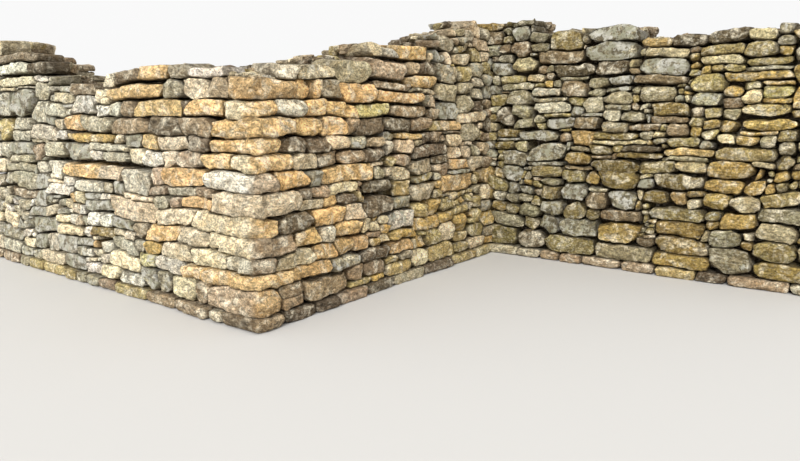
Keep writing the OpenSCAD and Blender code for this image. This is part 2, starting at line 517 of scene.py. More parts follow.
class Course:
    """The columns of a face, which are filled with rubble from the foot to the top."""

    def __init__(self, side, start, end, chosen):
        self.start = start
        self.count = int(round((end - start) / COLUMN))
        self.along = start + (np.arange(self.count) + 0.5) * COLUMN
        self.built = np.full(self.count, foot)
        self.top = np.array([height_on(tops[side], along) for along in self.along])
        self.full = np.zeros(self.count, bool)
        self.blocks = []
        for stone in chosen:
            a = max(0, int(round((stone.start - start) / COLUMN)))
            b = min(self.count, int(round((stone.end - start) / COLUMN)))
            if a < b:
                self.blocks.append((a, b, min(stone.bottom), max(stone.top)))

    def ceilings(self):
        """Height at which each column meets the next chosen stone, or the top."""
        out = self.top.copy()
        for a, b, low, high in self.blocks:
            over = (low > self.built[a:b] - CLOSE) & (low < out[a:b])
            out[a:b] = np.where(over, low, out[a:b])
        return out

    def climb(self, ceiling):
        """Moves columns that are filled up to a chosen stone onto its top."""
        thin = np.where(ceiling < self.top, THIN, THIN_ON_TOP)
        stuck = np.flatnonzero((ceiling - self.built < thin) & ~self.full)
        for k in stuck:
            above = [block for block in self.blocks if block[0] <= k < block[1]]
            over = [high for a, b, low, high in above if abs(low - ceiling[k]) < LEVEL]
            if over and ceiling[k] < self.top[k]:
                self.built[k] = max(over)
            else:
                self.full[k] = True
        return len(stuck) > 0

    def closed(self, m):
        """Whether column m is full or past an end."""
        return m < 0 or m >= self.count or self.full[m]

    def alike(self, k, m, ceiling, height):
        """Whether column m can share a stone with column k."""
        if self.closed(m) or abs(self.built[m] - self.built[k]) > FLAT:
            return False
        room = min(ceiling[m] - self.built[m], ceiling[k] - self.built[k])
        return abs(ceiling[m] - ceiling[k]) < CLOSE or room > 1.6 * height

    def gap_to(self, m, bottom):
        """How far a neighbour column is built above a stone's bottom."""
        return FAR_UP if self.closed(m) else self.built[m] - bottom


# %% [markdown]
# Each stone takes a run of columns that are built about equally high. Its ends rise to the wanted
# height, to a neighbour or to the ceiling. A narrow gap gets a small pinning stone, and a sliver of a
# few columns is left open.

# %% Lay rubble
FLATNESS = 0.75
NARROW = 8
SLIVER = 4
SHORT = 9
TILT = 0.012
MEETS = (0.6, 1.45)
PIN_HEIGHTS = (0.04, 0.09, 0.11)
LEAST_HEIGHT = 0.022
LEFT_OVER = 0.045


def run_of(course, lowest, ceiling, wanted, height, draw):
    """The run of columns, around the lowest one, that the next stone takes."""
    a, b = lowest, lowest + 1
    while course.alike(lowest, a - 1, ceiling, height):
        a -= 1
    while course.alike(lowest, b, ceiling, height):
        b += 1
    if b - a > 1.55 * wanted:
        if draw.random() < 0.5:
            b = a + wanted
        else:
            a = b - wanted
    elif b - a > max(20, 1.15 * wanted):
        b = a + int((b - a) * draw.uniform(0.4, 0.6))
    return a, b


def bed_of(course, a, b):
    """A straight bottom line that clears every column of a run."""
    built = course.built[a:b]
    bottom = np.linspace(built[:3].max(), built[-3:].max(), b - a)
    return bottom + max(0.0, (built - bottom).max())


def rises_of(width, height, room, beside, draw):
    """How high a stone rises at its two ends."""
    if width < SHORT:
        height = min([height] + [gap for gap in beside if gap > CLOSE])
    ends = []
    for gap in beside:
        meets = MEETS[0] * height < gap < MEETS[1] * height and draw.random() < 0.6
        ends.append(gap if meets else height)
    tilt = draw.uniform(-TILT, TILT) * min(1, width / 20)
    ends = [ends[0] + tilt, ends[1] - tilt]
    if room - max(ends) < LEFT_OVER:
        whole = room < 1.7 * height or room < 0.06
        ends = [room if whole else room * draw.uniform(0.42, 0.58)] * 2
    if width < NARROW:
        lowest, usual, highest = PIN_HEIGHTS
        beside_it = min([gap for gap in beside if gap > CLOSE] + [usual])
        ends = [min(max(beside_it, lowest), highest)] * 2
    else:
        ends = [min(end, max(0.05, FLATNESS * width * COLUMN)) for end in ends]
    return [max(min(end, room), LEAST_HEIGHT) for end in ends]


def lay_rubble(course, look, draw):
    """Fills the columns and returns the stones."""
    laid = []
    while not course.full.all():
        ceiling = course.ceilings()
        if course.climb(ceiling):
            continue
        lowest = int(np.argmin(np.where(course.full, FAR_UP, course.built)))
        length, height, kind = look(course.along[lowest], course.built[lowest], draw)
        wanted = max(3, int(round(length / COLUMN)))
        a, b = run_of(course, lowest, ceiling, wanted, height, draw)
        bottom = bed_of(course, a, b)
        room = (ceiling[a:b] - bottom).min()
        beside = course.gap_to(a - 1, bottom[0]), course.gap_to(b, bottom[-1])
        ends = rises_of(b - a, height, room, beside, draw)
        top = (bottom[0] + ends[0], bottom[-1] + ends[1])
        if b - a >= SLIVER:
            start, end = course.start + a * COLUMN, course.start + b * COLUMN
            laid.append(Stone(start, end, (bottom[0], bottom[-1]), top, kind))
        course.built[a:b] = np.linspace(*top, b - a)
    return laid


# %% [markdown]
# Each stretch has its look: a length, a height and a finish, drawn afresh for every stone. A letter
# that comes more often in a look is a commoner stone there.

# %% Say what the rubble of each side looks like
LEFT_SLIP = 2.6
MOSSY_BELOW = 0.75
OCHRE_BELOW = 0.8
OCHRE_FROM = 1.75
LARGER_FROM = 1.5


def look_left(along, height, draw):
    """Coursed pale stones, and beyond the slip in the top large mottled ones."""
    if along < LEFT_SLIP:
        return draw.uniform(0.22, 0.44), draw.choice([0.09, 0.1, 0.12, 0.13]), draw.choice("lccpclwpwgc")
    return draw.uniform(0.25, 0.5), draw.choice([0.09, 0.12, 0.15, 0.17]), draw.choice("llslwlsc")


def look_right(along, height, draw):
    """Uneven stones towards the inner corner, mossy near the foot and grey above."""
    kinds = "eoesoce" if height < MOSSY_BELOW else "spsmepsmk"
    larger = 0.1 if along > LARGER_FROM else 0
    rise = draw.choice([0.08, 0.09, 0.11, 0.13, 0.15]) + 0.25 * larger
    return draw.uniform(0.18, 0.36) + larger, rise, draw.choice(kinds)


def look_back(along, height, draw):
    """Rubble that is grey and lichened by the inner corner, and ochre towards the cut end."""
    share = (0.65 if along > OCHRE_FROM else 0.12) + (0.3 if height < OCHRE_BELOW else 0)
    kind = draw.choice("oeoeooc") if draw.random() < share else draw.choice("slsmesesm")
    return draw.uniform(0.28, 0.6), draw.choice([0.12, 0.14, 0.15, 0.17, 0.2]), kind


def look_rear(along, height, draw):
    """The rear skins, which nobody dressed: longer, rougher stones."""
    return draw.uniform(0.2, 0.42), draw.choice([0.08, 0.1, 0.12, 0.14]), draw.choice("ssmmkcp")


# %% [markdown]
# The rubble leaves room for the quoins. At the inner corner both faces run on behind each other.

# %% Lay the three faces
END_GAP = 0.012
RIGHT_RUNS_ON = 0.16
BACK_RUNS_ON = 0.40


def quoin_stones(plane):
    """The quoins as they fill one plane."""
    boxes = [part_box(name) for name in quoins]
    return [
        Stone(0, max(plane.ends_of(low, high)), (low.z, low.z), (high.z, high.z), "g")
        for low, high in boxes
    ]


sides = {
    "left": (LEFT, 0, left_len - END_GAP, look_left, 11),
    "right": (RIGHT, 0, right_len + RIGHT_RUNS_ON, look_right, 12),
    "back": (BACK, -BACK_RUNS_ON, back_len - END_GAP, look_back, 13),
}
fronts = {}
for side, (plane, start, end, look, seed) in sides.items():
    corner = [] if side == "back" else quoin_stones(plane)
    course = Course(side, start, end, schedule[side] + corner)
    fronts[side] = schedule[side] + lay_rubble(course, look, random.Random(seed))
    print(side, "face has", len(fronts[side]), "stones")

# %% [markdown]
# ## Dressing a stone
# A stone becomes itself in a few strokes, and each has its tool. Slow waves make the stone uneven,
# and flat cuts chip it as a hammer would. The corners of its outline, seen from the front, are rounded
# or broken off.

# %% Make the mason's tools
CORNERS = np.array([(-1, -1), (1, -1), (1, 1), (-1, 1)])
FULL_TURN = 6.28
SINES = 4
CUT_ANGLES = (0.5, 1.25)
TINY = 1e-9


def waves(points, draw, length, size):
    """Slow smooth noise as a vector for every point, made from a few sines."""
    out = np.zeros_like(points)
    for _ in range(SINES):
        run = draw.normal(size=3)
        run *= 2 * math.pi / (length * np.linalg.norm(run))
        way = draw.normal(size=3)
        out += np.outer(np.sin(points @ run + draw.uniform(0, FULL_TURN)), way / np.linalg.norm(way))
    return out * size / 2


def cut_flat(points, normal, depth, centre=0.0):
    """Moves the points beyond a flat cut back onto it. The furthest point loses the depth."""
    normal = normal / np.linalg.norm(normal)
    beyond = (points - centre) @ normal
    beyond -= beyond.max() - depth
    points -= np.outer(np.clip(beyond, 0, None), normal)


def chip(points, draw, cuts, deepest, faceward=-0.5):
    """Cuts corners off flat. The lower faceward is, the more the cuts look out of the face."""
    centre = (points.min(axis=0) + points.max(axis=0)) / 2
    for _ in range(cuts):
        normal = draw.normal(size=3)
        normal[1] = faceward - abs(normal[1])
        cut_flat(points, normal, draw.uniform(0.3, 1) * deepest, centre)
    return points


def round_off(outline, half, radius):
    """Rounds the four corners of an outline that lies around zero."""
    beyond = np.clip(np.abs(outline) - (half - radius), 0, None)
    distance = np.hypot(beyond[:, 0], beyond[:, 1])
    in_corner = (beyond.min(axis=1) > 0) & (distance > 0)
    ratio = np.where(in_corner, beyond.max(axis=1) / np.maximum(distance, TINY), 1)
    return np.sign(outline) * (np.abs(outline) - beyond + beyond * ratio[:, None])


def split_corners(outline, half, draw, deepest):
    """Breaks some corners of the outline off along a straight line."""
    for a, b in CORNERS:
        angle = draw.uniform(*CUT_ANGLES)
        normal = np.array([a * math.cos(angle), b * math.sin(angle)])
        depth = draw.uniform(0.2, 1) * deepest * draw.integers(0, 2)
        beyond = outline @ normal - (half @ np.abs(normal) - depth)
        outline = outline - np.outer(np.clip(beyond, 0, None), normal)
    return outline


# %% [markdown]
# Rubble isn't square. A stone gets thinner towards its ends and narrower towards its top and bed, and
# some of its corners are pulled in. How much it loses is its slack, and a rough stone has more.

# %% Wear the outline
SLACK = 14
MOST_SLACK = 0.24


def wear(outline, half, flat, rough, draw):
    """Wears an outline, and returns it with how far out its points were, as shares from -1 to 1."""
    shares = outline.T / half[:, None]
    slack = min(SLACK * rough, MOST_SLACK)
    above, below = draw.uniform(0, 2 * slack, 2) ** 2 * 1.5
    thinner = np.where(outline[:, 1] > 0, above, below)
    outline[:, 1] *= 1 - thinner * np.abs(shares[0]) ** draw.uniform(1.6, 4)
    outline[:, 0] *= 1 - draw.uniform(0, 0.9 * slack) * flat * shares[1] ** 2
    pull = draw.uniform(0, slack * half[1], (4, 2))
    pull *= draw.integers(0, 2, (4, 1))
    weight = np.array([(1 + a * shares[0]) * (1 + b * shares[1]) / 4 for a, b in CORNERS])
    return outline - np.einsum("kn,kc,kc->nc", weight**2, pull, CORNERS), shares


# %% [markdown]
# The model is stretched to the stone's place, with its edge rounded over three rings. The outline is
# worn, the face is domed and turned a little, and waves and chips come last. The tail swells, so that
# no light comes through the joints.

# %% Dress a stone
GAP = 0.005
SWELL = 0.006
BULGE = 0.07
CROWD = 1.35
EDGES = (0.006, 0.017)
ROUNDINGS = (0.004, 0.018)
SPLIT = 26
PLAIN_ROUGH = 0.012
# Grime and painted shade: the deeper rings of a stone, which run back into the joints, are darker.
RING_GRIME_AND_SHADE = np.array([0, 0.35, 0.8, 1, 1])


def nearest(choices, wanted):
    """The choice that is closest in proportion to what is wanted."""
    return min(choices, key=lambda choice: abs(math.log(choice / max(wanted, 1))))


def dress(stone, draw, depth, cell, proud, rough):
    """The stone's points as (along, into, up), its faces, and how deep each point is in its joint."""
    length = stone.end - stone.start
    height = (sum(stone.top) - sum(stone.bottom)) / 2
    model, faces = models[nearest(LONG_CHOICES, length / cell), nearest(HIGH_CHOICES, height / cell)]
    u, _, w = np.sin(model * [CROWD, 1, CROWD]).T / math.sin(CROWD)
    ring = model[:, 1].astype(int)

    edge = min(draw.uniform(*EDGES), 0.2 * height, 0.2 * length)
    corner = min(draw.uniform(*ROUNDINGS), 0.25 * height, 0.25 * length)
    inset = np.array([0.75 * edge, 0.22 * edge, 0, 0, -SWELL])[ring]
    into = np.array([0, 0.35 * edge, 1.1 * edge, BULGE, depth])[ring]
    full = np.array([length, height]) / 2 - GAP * draw.uniform(0.3, 0.8, 2)
    half = full - inset[:, None]
    outline = round_off(np.column_stack([u, w]) * half, half, corner)
    outline = split_corners(outline, half, draw, SPLIT * rough * full.min())
    outline, shares = wear(outline, full, min(1, height / length), rough, draw)
    across, up = outline.T

    dome = (1 - shares[0] ** 2) * (1 - shares[1] ** 2)
    into -= np.where(ring == 0, dome * draw.uniform(0.1, 1) * rough, 0)
    turned = draw.uniform(-0.07, 0.07) * across + draw.uniform(-0.14, 0.1) * up
    into += np.where(ring < 2, turned * rough / PLAIN_ROUGH, 0) - proud
    across += draw.uniform(-0.12, 0.12) * up
    share = (across / length + 0.5).clip(0, 1)
    lower, upper = np.interp(share, [0, 1], stone.bottom), np.interp(share, [0, 1], stone.top)
    points = np.column_stack([stone.middle() + across, into, (lower + upper) / 2 + up])
    points += waves(points, draw, draw.uniform(0.07, 0.16), 0.3 * rough)
    points += waves(points, draw, 0.045, 0.16 * rough)
    points = chip(points, draw, draw.integers(3, 6), min(0.12 * height, 1.3 * rough))
    points[:, 2] = points[:, 2].clip(lower - SWELL, upper + SWELL)
    return points, faces, RING_GRIME_AND_SHADE[ring]


# %% [markdown]
# A wall settles as a whole. A slow wave moves every stone and its neighbours together, and a short
# one bends beds and leans upright joints without opening them. Both die out at the foot.

# %% Let the wall settle
SETTLE_DOWN = 0.009
SETTLE_ALONG = 0.006
SETTLE_SHORT = 0.006
SETTLE_SINES = 5
FADE_HEIGHT = 0.2
settle_draw = np.random.default_rng(5)
settle_runs = settle_draw.normal(size=(SETTLE_SINES, 3)) * [7, 7, 9]
settle_starts = settle_draw.uniform(0, FULL_TURN, (SETTLE_SINES, 2))


def settle(points):
    """Moves points by the slow wave that runs through the whole wall."""
    fade = np.clip((points[:, 2] - foot) / FADE_HEIGHT, 0, 1)
    phase = points @ settle_runs.T
    down = np.sin(phase + settle_starts[:, 0]).sum(axis=1) * SETTLE_DOWN / 2 * fade
    along = np.sin(phase * 1.3 + settle_starts[:, 1]).sum(axis=1) * SETTLE_ALONG / 2 * fade
    down += np.sin(phase * 2.6 + settle_starts[:, 1]).sum(axis=1) * SETTLE_SHORT / 4 * fade
    along += np.sin(phase * 3.4 + settle_starts[:, 0]).sum(axis=1) * SETTLE_SHORT * fade
    return points + np.column_stack([along, along, down])


# %% [markdown]
# ## Colour
# A finish letter stands for the colour of a clean dry stone, and for how much lichen it grows.

# %% Name the finishes
FINISHES = {
    "g": ((226, 194, 140), 0.08),
    "c": ((234, 220, 184), 0.14),
    "p": ((218, 202, 172), 0.25),
    "m": ((172, 152, 124), 0.30),
    "d": ((194, 174, 146), 0.35),
    "t": ((198, 168, 122), 0.15),
    "n": ((150, 133, 108), 0.35),
    "k": ((114, 101, 82), 0.35),
    # u is a dark ochre for back stones: partly dirt, partly painted shade.
    "u": ((152, 134, 86), 0.35),
    "s": ((184, 175, 148), 0.70),
    "l": ((206, 199, 176), 0.85),
    "w": ((238, 233, 216), 0.50),
    "y": ((222, 211, 146), 0.45),
    "b": ((197, 189, 169), 0.40),
    "o": ((210, 182, 116), 0.35),
    "e": ((188, 172, 120), 0.45),
}
print(len(FINISHES), "finishes")

# %% [markdown]
# Each face has its painted light and shade: a cast that paints its stones lighter or darker, its change
# for each metre along the face, and how much darker its foot is and how much painted shadow lies on its
# head.

# %% Paint light and shade onto the faces
PAINTED_FACE_LIGHT = {
    # Painted light and shade: a cast above 1 paints a face lighter, and one below 1 paints it darker,
    # than the lamp lights it.
    "left": (np.array([1.06, 1.075, 1.10]), 0.0, 0.05, 0.3),
    "right": (np.array([1.27, 1.22, 1.14]), -0.065, 0.15, 0.0),
    "back": (np.array([0.81, 0.80, 0.69]), 0.075, 0.48, 0.5),
}
DARK_FOOT_HEIGHT = 1.8
HEAD_HEIGHTS = [1.55, 2.25]


def painted_light_at(side, along, height):
    """The painted light and shade that tints the stones at a place on a face."""
    face_light, change, dark_foot, dark = PAINTED_FACE_LIGHT[side]
    # The stones get darker towards the foot, and a painted shadow darkens the head.
    foot_shade = 1 - dark_foot * max(0, 1 - height / DARK_FOOT_HEIGHT)
    head_shade = 1 - dark * np.interp(height, HEAD_HEIGHTS, [0, 1])
    return face_light * (1 + change * along) * foot_shade * head_shade


def as_light(colour):
    """Turns a colour from screen values to the light values that a shader mixes."""
    share = np.asarray(colour) / 255
    return np.where(share < 0.04045, share / 12.92, ((share + 0.055) / 1.055) ** 2.4)


print("a screen value of 128 is", round(float(as_light(128)), 3), "of full light")

# %% [markdown]
# ## Joining stones to a piece
# The dressed meshes are gathered in arrays and made into one object. Every point carries its stone's
# tint, which holds the painted light and shade of its face, an offset that keeps the grain from running
# on from one stone to the next, an amount of darkening that is grime and painted shade, and an amount of
# lichen for the material to read.

# %% Gather stones into a heap
ATTRIBUTES = {
    "tint": ("FLOAT_COLOR", "color"),
    "grain": ("FLOAT_VECTOR", "vector"),
    "grime_and_shade": ("FLOAT", "value"),
    "lichen": ("FLOAT", "value"),
}
GRAIN_OFFSET = 5


class Heap:
    """Collects stones for one piece of the wall."""

    def __init__(self):
        self.points, self.faces, self.count = [], [], 0
        self.values = {name: [] for name in ATTRIBUTES}

    def add(self, points, faces, grime_and_shade, tint, lichen, draw, mirrored=False):
        """Adds one stone and the values that its points carry."""
        for face in faces:
            corners = [corner + self.count for corner in face]
            self.faces.append(corners[::-1] if mirrored else corners)
        count = len(points)
        self.count += count
        self.points.append(settle(points))
        self.values["tint"].append(np.column_stack([np.broadcast_to(tint, (count, 3)), np.ones(count)]))
        offset = draw.uniform(-GRAIN_OFFSET, GRAIN_OFFSET, 3)
        self.values["grain"].append(np.broadcast_to(offset, (count, 3)))
        self.values["grime_and_shade"].append(grime_and_shade)
        self.values["lichen"].append(np.full(count, lichen))

    def add_stone(self, stone, plane, draw, depth, cell, proud, rough, face_light=1.0):
        """Dresses one stone of a plane and adds it."""
        points, faces, grime_and_shade = dress(stone, draw, depth, cell, proud, rough)
        colour, lichen = FINISHES[stone.kind]
        # The tint carries the painted light and shade of the stone's face.
        tint = as_light(colour) * draw.uniform(0.86, 1.12) * draw.uniform(0.975, 1.025, 3) * face_light
        lichen = min(1, lichen * draw.uniform(0.4, 1.6))
        self.add(plane.place(points), faces, grime_and_shade, tint, lichen, draw, plane.mirrored)

    def make(self, name, slot, replaced=()):
        """Makes the object, with its attributes, and finishes it."""
        data = bpy.data.meshes.new(name)
        data.from_pydata(np.vstack(self.points), [], self.faces)
        for title, (kind, field) in ATTRIBUTES.items():
            attribute = data.attributes.new(title, kind, "POINT")
            values = np.concatenate(self.values[title])
            attribute.data.foreach_set(field, values.astype(np.float32).ravel())
        piece = bpy.data.objects.new(name, data)
        bpy.context.scene.collection.objects.link(piece)
        finish_piece(piece, slot, replaced)


# %% [markdown]
# A modifier that follows a cloudy texture roughens each piece, and smooth shading leaves only its sharper
# edges. Nothing is left below the foot of the frame. Then the piece is hung on the root body, and the
# frame's node that it replaces is hidden.

# %% Finish a piece
PIT_DEPTH = 0.022
SHARP_ANGLE = math.radians(30)
weathering = bpy.data.textures.new("weathering", "CLOUDS")
weathering.noise_scale = 0.042
weathering.noise_depth = 3


def finish_piece(piece, slot, replaced):
    bpy.ops.object.select_all(action="DESELECT")
    piece.select_set(True)
    bpy.context.view_layer.objects.active = piece
    pits = piece.modifiers.new("pits", "DISPLACE")
    pits.texture = weathering
    pits.texture_coords = "LOCAL"
    pits.strength = PIT_DEPTH
    pits.mid_level = 0.5
    bpy.ops.object.modifier_apply(modifier="pits")
    places = np.empty(len(piece.data.vertices) * 3)
    piece.data.vertices.foreach_get("co", places)
    places[2::3] = places[2::3].clip(cad_box[0].z)
    piece.data.vertices.foreach_set("co", places)
    piece.data.update()
    bpy.ops.object.shade_smooth_by_angle(angle=SHARP_ANGLE)
    piece.data.materials.append(materials[slot])
    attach(piece, "root")
    if replaced:
        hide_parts(*replaced)


def make_pieces(heaps):
    """Makes a piece from each heap, in place of the node that the heap is named after."""
    for node, stones in heaps.items():
        stones.make(node + "_stones", node.split("_")[-1] + "_stone", [node])
        print(node, len(stones.points), "stones,", len(stones.faces), "faces")


# %% [markdown]
# ## The stone's material
# One recipe serves every finish. Its nodes are many, so a small class adds and links them. A ramp
# turns the values between low and high into values between bottom and top.

# %% Make a short way to add nodes
class Nodes:
    """A short way to add and link the nodes of a material or a world."""

    def __init__(self, owner, shader="Principled BSDF"):
        self.owner = owner
        self.owner.use_nodes = True
        self.tree = self.owner.node_tree
        self.shader = self.tree.nodes[shader]

    def add(self, kind, inputs=(), **settings):
        node = self.tree.nodes.new("ShaderNode" + kind)
        for key, value in settings.items():
            setattr(node, key, value)
        for key, value in dict(inputs).items():
            self.put(node, key, value)
        return node

    def put(self, node, key, value):
        if isinstance(value, bpy.types.NodeSocket):
            self.tree.links.new(value, node.inputs[key])
        else:
            node.inputs[key].default_value = value

    def attribute(self, name, output):
        return self.add("Attribute", attribute_name=name).outputs[output]

    def math(self, operation, first, second, kind="Math"):
        return self.add(kind, {0: first, 1: second}, operation=operation).outputs[0]

    def times(self, first, second):
        return self.math("MULTIPLY", first, second)

    def stretch(self, where, upward):
        return self.add("Mapping", {"Vector": where, "Scale": (1.0, 1.0, upward)}).outputs[0]

    def noise(self, where, scale, detail, roughness, distortion=0.0):
        inputs = {"Vector": where, "Scale": scale, "Detail": detail}
        inputs.update({"Roughness": roughness, "Distortion": distortion})
        return self.add("TexNoise", inputs).outputs["Fac"]

    def ramp(self, fac, low, high, bottom=0.0, top=1.0):
        inputs = {"Value": fac, "From Min": low, "From Max": high, "To Min": bottom, "To Max": top}
        return self.add("MapRange", inputs, clamp=True).outputs[0]

    def mix(self, fac, first, second, blend="MIX"):
        node = self.add("Mix", {0: fac, 6: first, 7: second}, data_type="RGBA", blend_type=blend)
        return node.outputs[2]


def colour(*screen):
    """A colour for a socket, given by its screen values."""
    return (*as_light(screen), 1.0)


# %% [markdown]
# The recipe mixes a few patterns: noises of different size, the level lines of the bed that the
# stone was quarried from, and fine cracks that stray from straight.

# %% Draw the patterns
STRAY = (0.12, 0.12, 0.12)


def patterns_of(nodes, here):
    """The patterns that the recipe is mixed from."""
    squat = nodes.stretch(here, 1.7)
    bedding = nodes.stretch(here, 4.5)
    drift = nodes.add("TexNoise", {"Vector": here, "Scale": 9.0, "Detail": 4.0}).outputs["Color"]
    strayed = nodes.math("ADD", squat, nodes.math("MULTIPLY", drift, STRAY, "VectorMath"), "VectorMath")
    seams = nodes.add("TexVoronoi", {"Vector": strayed, "Scale": 13.0}, feature="DISTANCE_TO_EDGE")
    return SimpleNamespace(
        patches=nodes.noise(here, 6.5, 4.0, 0.6, 1.2),
        bloom=nodes.noise(here, 9.0, 5.0, 0.65, 0.8),
        weathered=nodes.noise(here, 13.0, 7.0, 0.72),
        crust=nodes.noise(here, 17.0, 7.0, 0.74),
        crags=nodes.noise(squat, 20.0, 7.0, 0.7, 0.5),
        flecks=nodes.noise(squat, 40.0, 4.0, 0.75, 0.4),
        speckle=nodes.noise(here, 70.0, 4.0, 0.8),
        lines=nodes.noise(bedding, 12.0, 6.0, 0.68),
        cracks=nodes.ramp(seams.outputs["Distance"], 0.0, 0.06),
    )


# %% [markdown]
# Patches the size of a palm deepen the tint or pale it with lime. Lines and grain make it darker and
# lighter. The crags bring painted shade into the pits and painted highlights onto the high spots, the
# cracks get painted shade, and what faces up is painted lighter and what faces down darker, as if lit
# from above.

# %% Colour fresh stone
DEEP = colour(206, 184, 150)
LIME = colour(246, 236, 210)


def fresh_stone(nodes, seen, tint, streaks, mottle):
    """The colour of the stone before it ages, with painted shade in its pits and cracks, painted
    highlights on its crags, and painted light from above.
    """
    deep = nodes.mix(1.0, tint, DEEP, "MULTIPLY")
    body = nodes.mix(nodes.ramp(seen.patches, 0.36, 0.62, mottle, 0.0), tint, deep)
    body = nodes.mix(nodes.ramp(seen.bloom, 0.5, 0.64, 0.0, 0.55), body, LIME)
    # Painted shade in the pits of the crags and painted highlights on their high spots.
    high = nodes.ramp(seen.crags, 0.36, 0.64, 0.54, 1.7)
    bed = nodes.ramp(seen.lines, 0.32, 0.68, 1 - 0.34 * streaks, 1 + 0.2 * streaks)
    grains = nodes.ramp(seen.speckle, 0.38, 0.62, 0.6, 1.4)
    # Painted shade in the cracks.
    split = nodes.ramp(seen.cracks, 0.0, 1.0, 0.76, 1.16)
    light = nodes.times(nodes.times(high, bed), nodes.times(grains, split))
    # Painted light: what faces up is lighter and what faces down is darker, as if lit from above.
    normal = nodes.add("NewGeometry").outputs["Normal"]
    upward = nodes.add("SeparateXYZ", {0: normal}).outputs["Z"]
    light = nodes.times(light, nodes.ramp(upward, -0.7, 0.7, 0.72, 1.26))
    value = nodes.add("CombineColor", {0: light, 1: light, 2: light}).outputs[0]
    return nodes.mix(1.0, body, value, "MULTIPLY")


# %% [markdown]
# Older stones are pitted and flaked, and grow dark and pale lichen in spots. The more lichen a stone
# has, the lower the noise from which its spots begin.

# %% Age the stone
PIT = colour(96, 84, 58)
FLAKE = colour(236, 230, 204)
DARK_LICHEN = colour(104, 96, 78)
PALE_LICHEN = colour(186, 184, 158)
WHITE_LICHEN = colour(232, 229, 216)


def aged_stone(nodes, seen, stone, lichen, spots):
    """The colour of the stone with its flecks and lichen."""
    aged = nodes.ramp(lichen, 0.05, 0.7, 0.14, 1.0)
    pitted = nodes.times(nodes.ramp(seen.flecks, 0.46, 0.36, 0.0, 0.7), aged)
    stone = nodes.mix(pitted, stone, PIT)
    flaked = nodes.times(nodes.ramp(seen.flecks, 0.54, 0.66, 0.0, 0.75), aged)
    stone = nodes.mix(flaked, stone, FLAKE)
    dark = nodes.math("SUBTRACT", seen.weathered, nodes.ramp(lichen, 0.0, 1.0, 0.75, 0.43))
    stone = nodes.mix(nodes.ramp(dark, 0.0, 0.07, 0.0, 0.72 * spots), stone, DARK_LICHEN)
    pale = nodes.math("SUBTRACT", seen.crust, nodes.ramp(lichen, 0.0, 1.0, 0.75, 0.46))
    tone = nodes.mix(nodes.ramp(seen.patches, 0.42, 0.58), PALE_LICHEN, WHITE_LICHEN)
    return nodes.mix(nodes.ramp(pale, 0.0, 0.05, 0.0, 0.85 * spots), stone, tone)


# %% [markdown]
# What lies in the joints is darkened, partly as grime and partly as painted shade. Bump gives grain that
# is too fine to model. Streaks, mottle and spots say how strong each part of the recipe is.

# %% Mix the material
# The colour of the grime and painted shade in the joints.
GRIME_AND_SHADE = colour(72, 60, 44)
EARTH = colour(120, 106, 88)
EARTH_GRIME = 0.4
EARTH_LICHEN = 0.1


def mix_stone(name, streaks=0.5, mottle=0.5, spots=1.0, tinted=True):
    """The recipe for stone, or for packed earth if it isn't tinted."""
    nodes = Nodes(bpy.data.materials.new(name))
    here = nodes.add("TexCoord").outputs["Object"]
    tint, grime_and_shade, lichen = EARTH, EARTH_GRIME, EARTH_LICHEN
    if tinted:
        here = nodes.math("ADD", here, nodes.attribute("grain", "Vector"), "VectorMath")
        tint = nodes.attribute("tint", "Color")
        grime_and_shade = nodes.attribute("grime_and_shade", "Fac")
        lichen = nodes.attribute("lichen", "Fac")
    seen = patterns_of(nodes, here)
    stone = fresh_stone(nodes, seen, tint, streaks, mottle)
    stone = aged_stone(nodes, seen, stone, lichen, spots)
    # The joints darken, as grime and painted shade, and less so on the high crags.
    joint_darkening = nodes.times(grime_and_shade, nodes.ramp(seen.crags, 0.3, 0.7, 1.0, 0.7))
    stone = nodes.mix(nodes.times(joint_darkening, 0.7), stone, GRIME_AND_SHADE)
    relief = nodes.math("ADD", seen.crags, nodes.times(seen.lines, 0.5))
    relief = nodes.math("ADD", relief, nodes.times(seen.cracks, 0.16))
    coarse = nodes.add("Bump", {"Height": relief, "Strength": 1.0, "Distance": 0.028}).outputs[0]
    fine = {"Height": seen.speckle, "Strength": 0.8, "Distance": 0.005, "Normal": coarse}
    nodes.put(nodes.shader, "Base Color", stone)
    nodes.put(nodes.shader, "Roughness", nodes.ramp(seen.speckle, 0.3, 0.7, 0.84, 0.97))
    nodes.put(nodes.shader, "Specular IOR Level", 0.25)
    nodes.put(nodes.shader, "Normal", nodes.add("Bump", fine).outputs[0])
    return nodes.owner


materials = {
    "face_stone": mix_stone("face_stone"),
    "cope_stone": mix_stone("cope_stone", streaks=0.35, spots=1.1),
    "quoin_stone": mix_stone("quoin_stone", streaks=0.6, mottle=0.55, spots=0.8),
    "back_stone": mix_stone("back_stone", streaks=0.4, mottle=0.6),
    "footing_stone": mix_stone("footing_stone", mottle=0.6, spots=0.5),
    "hearting_rubble": mix_stone("hearting_rubble", streaks=0.3),
}
packed_earth = mix_stone("packed_earth", tinted=False)
print("materials:", ", ".join(materials))

# %% [markdown]
# ## The outer faces
# Each face is split at half its length into a near and a far piece, as the frame is. What reaches the
# line of the top goes to the cope, whose stones run deeper into the wall. Grey and brown stones are
# rougher than golden ones, and the stones near the corner have finer cells.

# %% Build the faces and the cope
COPE_DEPTH = 0.24
COPE_REACH = 0.03
FINE_UNTIL = 1.6
FINE_CELL = 0.02
COARSE_CELL = 0.028
ROUGH_KINDS = "mskeo"
ROUGH = 0.018
BACK_ROUGH = 0.021
half_lengths = {"left": left_len / 2, "right": right_len / 2, "back": back_len / 2}


def bay_of(side, along):
    """The bay that a place on a face belongs to."""
    return side + ("_near" if along < half_lengths[side] else "_far")


